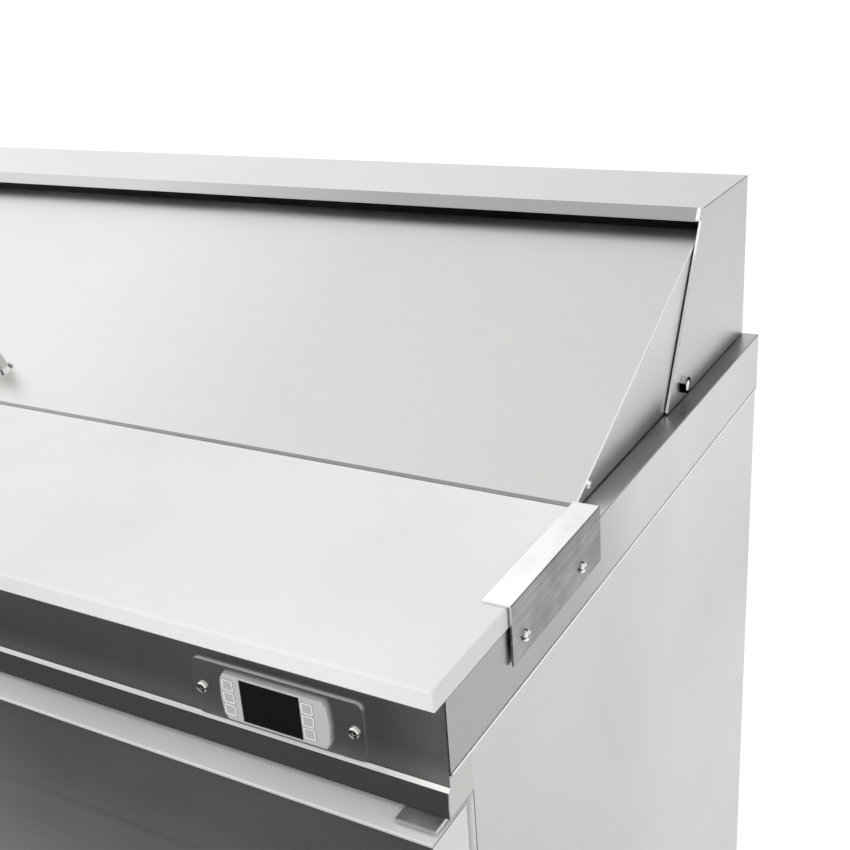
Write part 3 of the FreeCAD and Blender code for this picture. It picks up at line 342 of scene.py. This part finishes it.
# ------------------------------------------------------------------ painted highlights: bright strips along the folded sheet edges
def prism(name, yz, x0, x1):
    bm = bmesh.new()
    a = [bm.verts.new((x0, y, z)) for y, z in yz]
    b = [bm.verts.new((x1, y, z)) for y, z in yz]
    n = len(yz)
    bm.faces.new(a)
    bm.faces.new(list(reversed(b)))
    for i in range(n):
        j = (i + 1) % n
        bm.faces.new((a[j], a[i], b[i], b[j]))
    bmesh.ops.recalc_face_normals(bm, faces=bm.faces)
    me = bpy.data.meshes.new(name)
    bm.to_mesh(me)
    bm.free()
    ob = bpy.data.objects.new(name, me)
    scene.collection.objects.link(ob)
    return ob


# Painted highlight: near-white metal for the hem, edge and lip-tab strips, far lighter than the steel around them.
edge_highlight_m = metal("edge_highlight", (0.97, 0.965, 0.95), 0.5, 700, 0.05)
lo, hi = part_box("worktop_rim")
hlo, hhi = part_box("rear_hood")
for sx, tag in ((1, "right"), (-1, "left")):
    items = []
    xs = sorted((sx * (hi[0] - 0.0002), sx * (hi[0] + 0.0006)))
    items.append(prism("apron_hem_" + tag, [(lo[1] + 0.001, lo[2] + 0.0001), (hi[1] - 0.001, lo[2] + 0.0001), (hi[1] - 0.001, lo[2] + 0.0015), (lo[1] + 0.001, lo[2] + 0.0015)], xs[0], xs[1]))
    xs = sorted((sx * (hhi[0] - 0.0024), sx * (hhi[0] - 0.0001)))
    front = [(0.2014, 1.1244), (0.1950, 1.1139), (0.1040, 0.9572)]
    out = [(y - 0.00043, z + 0.00026) for y, z in front]
    inn = [(y + 0.00060, z - 0.00036) for y, z in front]
    items.append(prism("hood_edge_" + tag, out + inn[::-1], xs[0], xs[1]))
    xs = sorted((sx * (hhi[0] - 0.0062), sx * (hhi[0] - 0.0002)))
    items.append(prism("hood_lip_tab_" + tag, [out[0], out[1], inn[1], inn[0]], xs[0], xs[1]))
    for o in items:
        o.data.materials.append(edge_highlight_m)
        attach(o, "cabinet")

# Painted shade: a near-black strip laid over the fascia's lower band, where the recess above the doors lies in shadow.
lo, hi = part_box("fascia_panel")
st = slab("header_shade_strip", lo[0] + 0.001, hi[0] - 0.001, lo[1] - 0.0006, lo[1] + 0.0004, 0.8612, 0.8812, 0.0002)
st.data.materials.append(plastic("shade_strip_black", (0.038, 0.037, 0.040), 0.6, 0.25, 0.1))
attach(st, "cabinet")


# ------------------------------------------------------------------ stage and light
def plane(name, pts, mat):
    me = bpy.data.meshes.new(name)
    me.from_pydata(pts, [], [tuple(range(len(pts)))])
    ob = bpy.data.objects.new(name, me)
    scene.collection.objects.link(ob)
    ob.data.materials.append(mat)
    return ob


fl = Mat("floor")
fl.set(Roughness=0.9)
fl.b.inputs["Specular IOR Level"].default_value = 0.1
fl.to(fl.ramp(fl.noise(fl.mapping((1, 1, 1)), 2.0), [(0.2, (0.93, 0.93, 0.93, 1)), (0.8, (0.95, 0.95, 0.95, 1))]), "Base Color")
fl.b.inputs["Emission Color"].default_value = (1, 1, 1, 1)
fl.b.inputs["Emission Strength"].default_value = 0.12
plane("floor", [(-60, -60, 0), (60, -60, 0), (60, 60, 0), (-60, 60, 0)], fl.m)
dk = Mat("flag")
dk.set(Roughness=1.0)
dk.b.inputs["Base Color"].default_value = (0.02, 0.02, 0.02, 1)
dk.b.inputs["Specular IOR Level"].default_value = 0.0
card = plane("flag_front", [(-5, -5.5, 0.004), (3.5, -5.5, 0.004), (3.5, -0.75, 0.004), (-5, -0.75, 0.004)], dk.m)
for c_ in (card,):
    c_.visible_camera = False
    c_.visible_diffuse = False
    c_.visible_shadow = False
card2 = plane("flag_wall", [(-5, -5.5, 0.0), (3.5, -5.5, 0.0), (3.5, -5.5, 1.6), (-5, -5.5, 1.6)], dk.m)
card2.visible_camera = False
card2.visible_diffuse = False
card2.visible_shadow = False

world = bpy.data.worlds.new("world")
scene.world = world
world.use_nodes = True
scene.view_settings.view_transform = "Standard"
wt = world.node_tree
wbg = wt.nodes["Background"]
wout = wt.nodes["World Output"]
wtc = wt.nodes.new("ShaderNodeTexCoord")
sep = wt.nodes.new("ShaderNodeSeparateXYZ")
wt.links.new(wtc.outputs["Generated"], sep.inputs[0])
wr = wt.nodes.new("ShaderNodeValToRGB")
wr.color_ramp.elements[0].position, wr.color_ramp.elements[0].color = 0.0, (0.72, 0.72, 0.73, 1)
wr.color_ramp.elements[1].position, wr.color_ramp.elements[1].color = 0.95, (1.0, 0.995, 0.985, 1)
wt.links.new(sep.outputs["Z"], wr.inputs["Fac"])
# a dim quarter of the studio, behind and to the right
dot = wt.nodes.new("ShaderNodeVectorMath")
dot.operation = "DOT_PRODUCT"
dot.inputs[1].default_value = (0.50, 0.80, 0.33)
wt.links.new(wtc.outputs["Generated"], dot.inputs[0])
dr = wt.nodes.new("ShaderNodeMapRange")
dr.inputs["From Min"].default_value = 0.86
dr.inputs["From Max"].default_value = 0.965
dr.inputs["To Min"].default_value = 1.0
dr.inputs["To Max"].default_value = 0.05
wt.links.new(dot.outputs["Value"], dr.inputs["Value"])
xr = wt.nodes.new("ShaderNodeMapRange")
xr.inputs["From Min"].default_value = -0.80
xr.inputs["From Max"].default_value = -0.20
xr.inputs["To Min"].default_value = 1.45
xr.inputs["To Max"].default_value = 1.02
wt.links.new(sep.outputs["X"], xr.inputs["Value"])
both = wt.nodes.new("ShaderNodeMath")
both.operation = "MULTIPLY"
wt.links.new(xr.outputs["Result"], both.inputs[0])
wt.links.new(dr.outputs["Result"], both.inputs[1])
mul = wt.nodes.new("ShaderNodeMixRGB")
mul.blend_type = "MULTIPLY"
mul.inputs["Fac"].default_value = 1.0
wt.links.new(wr.outputs["Color"], mul.inputs["Color1"])
wt.links.new(both.outputs[0], mul.inputs["Color2"])
wt.links.new(mul.outputs["Color"], wbg.inputs["Color"])
wbg.inputs["Strength"].default_value = 1.06
wb2 = wt.nodes.new("ShaderNodeBackground")
wb2.inputs["Color"].default_value = (1, 1, 1, 1)
lp = wt.nodes.new("ShaderNodeLightPath")
ms = wt.nodes.new("ShaderNodeMixShader")
wt.links.new(lp.outputs["Is Camera Ray"], ms.inputs[0])
wt.links.new(wbg.outputs[0], ms.inputs[1])
wt.links.new(wb2.outputs[0], ms.inputs[2])
wt.links.new(ms.outputs[0], wout.inputs["Surface"])


def area(name, loc, target, size, power, col=(1, 1, 1), glossy=False):
    d = bpy.data.lights.new(name, "AREA")
    d.shape = "RECTANGLE"
    d.size, d.size_y = size
    d.energy = power
    d.color = col
    o = bpy.data.objects.new(name, d)
    scene.collection.objects.link(o)
    o.location = loc
    o.rotation_euler = (Vector(target) - Vector(loc)).to_track_quat("-Z", "Y").to_euler()
    o.visible_glossy = glossy
    return o


area("front_fill", (1.2, -3.2, 2.4), (0, 0, 0.8), (2.5, 1.6), 26)
area("top_soft", (0.0, 0.3, 3.4), (0, 0, 0.9), (3, 2), 14)
